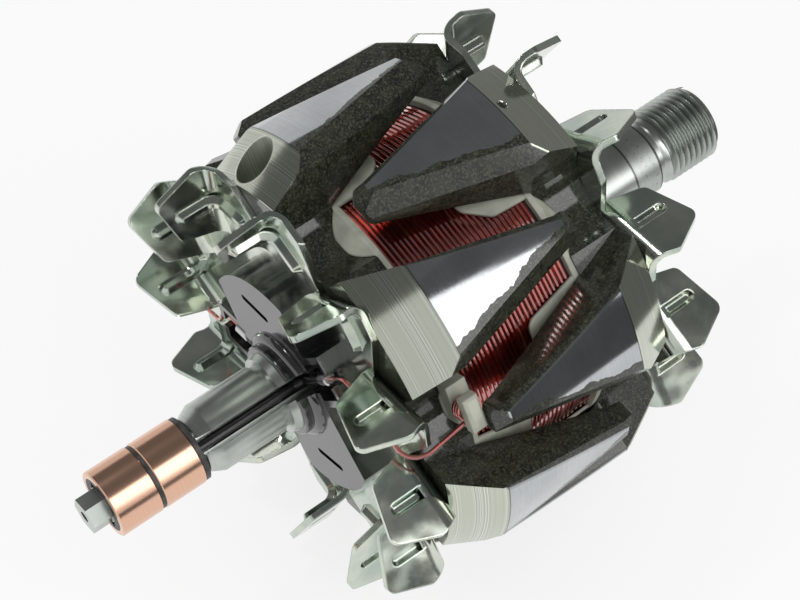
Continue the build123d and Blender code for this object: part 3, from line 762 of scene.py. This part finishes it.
def pole_steel(name, face_x, inward, phase, has_hole):
    """Varnish and steel mixed by bareness; inward, 1 or -1, is the way along x from face to claws."""
    pole = Finish(name)
    depth = (pole.x - face_x / MM) * inward
    ragged = pole.noise(per_mm=0.7, detail=4.0, roughness=0.65)
    bare = turned_clean(pole, depth) * clear_of_varnish(pole, depth, phase, ragged)
    drilled = 0.0
    rim = 0.0
    if has_hole:
        drilled, rim = balancing_hole(pole, depth, phase, ragged)
        bare = bare.most(drilled)
    steel = bright_steel(pole, depth, drilled, rim)
    return pole.finish(pole.node("MixShader", {}, {0: bare, 1: dipped_varnish(pole), 2: steel}))


rear_steel = pole_steel("rear_pole_steel", rear_face, 1.0, REAR_PHASE, has_hole=True)
front_steel = pole_steel("front_pole_steel", front_face, -1.0, FRONT_PHASE, has_hole=False)
dress(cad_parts["rear_claw_pole"], rear_steel)
dress(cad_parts["front_claw_pole"], front_steel)
print("pole faces at x", round(rear_face, 4), "and", round(front_face, 4))

# %% [markdown]
# ## Zinc-plated fans
#
# The fans are bright zinc with a yellow-green passivation. The tint lies in soft clouds, and a fine
# grain turns olive in places. Pressed sheet is never quite flat, so a long soft bump bends what it
# reflects. A rounded normal gives the sheared edges their bright lines, which is cheaper than a bevel
# on every blade.

# %% Fan sheet
ZINC_GREEN = (0.46, 0.53, 0.47)
ZINC_PALE = (0.68, 0.72, 0.63)
ZINC_OLIVE = (0.50, 0.52, 0.30)
SHEARED_EDGE = 0.45


def zinc_sheet():
    """Green-tinted zinc, smooth enough to show a room, with softly uneven sheet."""
    zinc = Finish("zinc_plated_sheet")
    clouds = zinc.noise(per_mm=0.09, detail=4.0)
    grain = zinc.noise(per_mm=1.2, detail=3.0)
    waves = zinc.noise(per_mm=0.12, detail=1.0)
    tint = zinc.mix(clouds.rise(0.35, 0.65), ZINC_GREEN, ZINC_PALE)
    tint = zinc.mix(grain.rise(0.6, 0.75) * 0.3, tint, ZINC_OLIVE)
    rough = 0.07 + 0.09 * grain + 0.06 * clouds
    normal = zinc.bump(waves, distance_mm=0.35, base=zinc.rounded(SHEARED_EDGE))
    return zinc.surface(Base_Color=tint, Metallic=1.0, Roughness=rough, Normal=normal)


fan_zinc = zinc_sheet()
dress(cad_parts["rear_fan"], fan_zinc)
dress(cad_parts["front_fan"], fan_zinc)

# %% [markdown]
# ## Copper and enamel
#
# The slip rings are turned copper, so their marks are lines over x again. The wire's enamel is a clear
# red coat over copper. Real glass-like layers would be slow, so it is a tinted metal with a strong
# clear coat on top, which makes the fine white lines on each turn. The layers under the outer one are
# in shadow, and need only a dull dark red.

# %% Slip rings and wire
COPPER_DARK = (0.74, 0.44, 0.31)
COPPER_BRIGHT = (0.82, 0.53, 0.39)
ENAMEL_DEEP = (0.38, 0.022, 0.012)
ENAMEL_THIN = (0.60, 0.060, 0.032)
SHADOW_RED = (0.02, 0.001, 0.001)


def ring_copper():
    """Copper with very fine turning marks."""
    copper = Finish("slip_ring_copper")
    marks = copper.lines(copper.x, per_mm=7.0)
    tint = copper.mix(marks.rise(0.3, 0.7), COPPER_DARK, COPPER_BRIGHT)
    normal = copper.bump(marks, distance_mm=0.004)
    return copper.surface(Base_Color=tint, Metallic=1.0, Roughness=0.17 + 0.06 * marks, Normal=normal)


def wire_enamel():
    """Deep red enamel over copper, under a clear coat."""
    enamel = Finish("enamelled_wire")
    patches = enamel.noise(per_mm=0.25, detail=3.0)
    return enamel.surface(
        Base_Color=enamel.mix(patches.rise(0.3, 0.7), ENAMEL_DEEP, ENAMEL_THIN),
        Metallic=1.0,
        Roughness=0.25,
        Coat_Weight=1.0,
        Coat_Roughness=0.03,
        Coat_IOR=2.6,
    )


ring_finish = ring_copper()
wire_finish = wire_enamel()
dress(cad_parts["outer_slip_ring"], ring_finish)
dress(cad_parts["inner_slip_ring"], ring_finish)
dress(under_layers, Material("wire_in_shadow").surface(Base_Color=SHADOW_RED, Roughness=0.6))
for piece in (coil, *wraps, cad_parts["coil_lead_one"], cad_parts["coil_lead_two"]):
    dress(piece, wire_finish)

# %% [markdown]
# ## Plastics, sleeves and crimps
#
# The bobbin is cream nylon, the guide behind the rear fan a glossy black moulding, the slip rings sit
# on a dull dark moulding, and the leads wear smooth black sleeves. They differ in colour, gloss and in
# how soft their edges are, not in kind, so one recipe makes all four: a mottled colour, and a fine
# grain in the gloss and in the surface. The crimps are small pieces of tinned metal.

# %% Mouldings and tinned metal


def moulding(name, dark, light, smoothest, roughest, mottle_per_mm, bump_mm, edge_mm, ior=1.5):
    """A plain plastic whose colour, gloss and surface vary with soft noise, with rounded edges."""
    plastic = Finish(name)
    mottle = plastic.noise(mottle_per_mm, detail=3.0)
    grain = plastic.noise(per_mm=1.8)
    colour = plastic.mix(mottle.rise(0.3, 0.7), dark, light)
    rough = smoothest + (roughest - smoothest) * grain
    normal = plastic.bump(grain, bump_mm, base=plastic.rounded(edge_mm))
    return plastic.surface(Base_Color=colour, Roughness=rough, Normal=normal, IOR=ior)


nylon = moulding(
    "bobbin_nylon",
    dark=(0.30, 0.31, 0.26),
    light=(0.45, 0.46, 0.38),
    smoothest=0.28,
    roughest=0.45,
    mottle_per_mm=0.2,
    bump_mm=0.03,
    edge_mm=0.5,
)
black = moulding(
    "black_moulding",
    dark=(0.006, 0.006, 0.007),
    light=(0.016, 0.016, 0.017),
    smoothest=0.06,
    roughest=0.16,
    mottle_per_mm=0.3,
    bump_mm=0.01,
    edge_mm=0.08,
    ior=2.1,
)
dull = moulding(
    "core_moulding",
    dark=(0.020, 0.020, 0.020),
    light=(0.060, 0.058, 0.056),
    smoothest=0.35,
    roughest=0.55,
    mottle_per_mm=0.8,
    bump_mm=0.03,
    edge_mm=0.15,
)
sleeve = moulding(
    "lead_sleeve",
    dark=(0.006, 0.006, 0.006),
    light=(0.014, 0.014, 0.014),
    smoothest=0.15,
    roughest=0.3,
    mottle_per_mm=0.8,
    bump_mm=0.03,
    edge_mm=0.1,
)
tinned = Material("tinned_crimp").surface(Base_Color=(0.6, 0.6, 0.6), Metallic=1.0, Roughness=0.25)
FINISHES = {
    "coil_bobbin": nylon,
    "lead_guide": black,
    "slip_ring_core": dull,
    "ring_lead_one": sleeve,
    "ring_lead_two": sleeve,
    "terminal_one": tinned,
    "terminal_two": tinned,
}
for node_name, material in FINISHES.items():
    dress(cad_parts[node_name], material)

# %% [markdown]
# ## Floor and world
#
# The rotor lies on a pale floor under an even white world. A floor that is only lit would turn grey
# away from the lamps, and lamps strong enough to whiten it would burn out the steel. So the floor is
# mostly plain white where a camera or a reflection looks at it, and still keeps a faint soft shadow.

# %% Floor and world
FLOOR_SIZE = 6.0
WHITE_SHARE = 0.8
WORLD_STRENGTH = 0.75
FLOOR_GREY = (0.88, 0.88, 0.88)
WHITE = (1.0, 1.0, 1.0)


def flat_sheet(name, width, length, material):
    """A rectangle about its own middle in the XY plane, in one material."""
    mesh = bpy.data.meshes.new(name)
    w, h = width / 2, length / 2
    mesh.from_pydata([(-w, -h, 0), (w, -h, 0), (w, h, 0), (-w, h, 0)], [], [(0, 1, 2, 3)])
    sheet = bpy.data.objects.new(name, mesh)
    bpy.context.scene.collection.objects.link(sheet)
    dress(sheet, material)
    return sheet


def pale_floor():
    """Matt white, mixed with plain white by the sum of the ray kinds that look at it."""
    pale = Material("pale_floor")
    matt = pale.shader(Base_Color=FLOOR_GREY, Roughness=0.9)
    white = pale.node("Emission", {}, {"Color": WHITE, "Strength": 1.0})
    path = pale.add_node("LightPath")
    seen = [Value(pale, path.outputs[f"Is {kind} Ray"]) for kind in ("Camera", "Glossy", "Transmission")]
    share = (seen[0] + seen[1] + seen[2]).least(1.0) * WHITE_SHARE
    return pale.finish(pale.node("MixShader", {}, {0: share, 1: matt, 2: white}))


floor = flat_sheet("floor", FLOOR_SIZE, FLOOR_SIZE, pale_floor())
floor.location = (0.0, 0.0, cad_low.z)

world = bpy.data.worlds.new("studio")
bpy.context.scene.world = world
world.use_nodes = True
background = world.node_tree.nodes["Background"]
background.inputs["Color"].default_value = (*WHITE, 1.0)
background.inputs["Strength"].default_value = WORLD_STRENGTH
print("floor at z", round(cad_low.z, 4), "m, world strength", WORLD_STRENGTH)

# %% [markdown]
# ## Lamps and cards
#
# Polished steel shows what stands round it, so the light is a set of shapes. One long soft lamp at the
# side gives the turned faces their white areas, and a dark screen close beside it gives those areas a
# crisp edge. A tiny lamp above puts sparkle in the varnish. Other dim cards, which only reflections
# see, stand for the room above, in front and beside: without them steel reads as white plastic.

# %% Lamps and cards
SIDE_ROLL = np.radians(-64.0)
CARD_HEIGHT = cad_low.z + 1 * MM
rotor_middle = Vector(((cad_low.x + cad_high.x) / 2, 0.0, 0.0))


def aim(thing, place, target, roll=0.0):
    """Put a thing at a place, its -Z side towards a target, rolled about the line between them."""
    thing.location = place
    facing = (target - thing.location).to_track_quat("-Z", "Y").to_matrix().to_4x4()
    thing.rotation_euler = (facing @ Matrix.Rotation(roll, 4, "Z")).to_euler()


def soft_lamp(name, place, size, radiance, roll=0.0):
    """A rectangular lamp; its power is pi times its area times the radiance that reflections show."""
    lamp = bpy.data.lights.new(name, "AREA")
    lamp.shape = "RECTANGLE"
    lamp.size, lamp.size_y = size
    lamp.energy = radiance * np.pi * size[0] * size[1]
    holder = bpy.data.objects.new(name, lamp)
    bpy.context.scene.collection.objects.link(holder)
    aim(holder, place, rotor_middle, roll)
    print(name, round(lamp.energy, 2), "W")


def dim_card(name, place, size, level, upright=False, roll=None):
    """An even card that only reflections see: flat, upright across X, or rolled and facing the rotor."""
    glow = Material(name)
    shine = glow.node("Emission", {}, {"Color": (level, level, level), "Strength": 1.0})
    card = flat_sheet(name, *size, glow.finish(shine))
    card.location = place
    card.rotation_euler = (0.0, np.pi / 2 if upright else 0.0, 0.0)
    if roll is not None:
        aim(card, place, rotor_middle, roll)
    card.visible_camera = False
    card.visible_diffuse = False
    card.visible_shadow = False


soft_lamp("side_lamp", place=(0.088, -0.526, 0.282), size=(0.70, 0.30), radiance=2.05, roll=SIDE_ROLL)
soft_lamp("sparkle_lamp", place=(-0.14, 0.10, 0.44), size=(0.05, 0.05), radiance=24.0)
dim_card("dark_screen", place=(0.282, -0.363, 0.389), size=(0.90, 0.25), level=0.12, roll=SIDE_ROLL)
dim_card("dark_ceiling", place=(0.0, 0.25, 0.50), size=(2.2, 1.30), level=0.14)
dim_card("dark_ground", place=(0.10, -0.50, CARD_HEIGHT), size=(1.2, 0.70), level=0.10)
dim_card("dark_side_ground", place=(0.46, 0.10, CARD_HEIGHT), size=(0.78, 0.48), level=0.15)
dim_card("dark_side", place=(0.85, 0.20, 0.23), size=(0.55, 1.30), level=0.22, upright=True)

# %% [markdown]
# ## Camera
#
# The camera stands where the photograph was taken from. Its place, roll and lens were found by
# matching the shaft's line, the claws' corners, the fan blades and the slip rings, which is more exact
# than moving it by eye. Depth of field and shift stay off.

# %% Camera
CAMERA_PLACE = (-0.1905, -0.2738, 0.3041)
CAMERA_TARGET = Vector((-0.0437, 0.00255, 0.0))
CAMERA_ROLL = np.radians(-12.71)
CAMERA_LENS = 96.26
CAMERA_SENSOR = 36.0
CAMERA_NEAREST = 0.01
camera_data = bpy.data.cameras.new("camera")
camera_data.lens = CAMERA_LENS
camera_data.sensor_width = CAMERA_SENSOR
camera_data.clip_start = CAMERA_NEAREST
camera = bpy.data.objects.new("camera", camera_data)
bpy.context.scene.collection.objects.link(camera)
aim(camera, CAMERA_PLACE, CAMERA_TARGET, CAMERA_ROLL)
bpy.context.scene.camera = camera
bpy.context.scene.view_settings.view_transform = "Standard"
print("camera", round((CAMERA_TARGET - camera.location).length, 3), "m from its target")
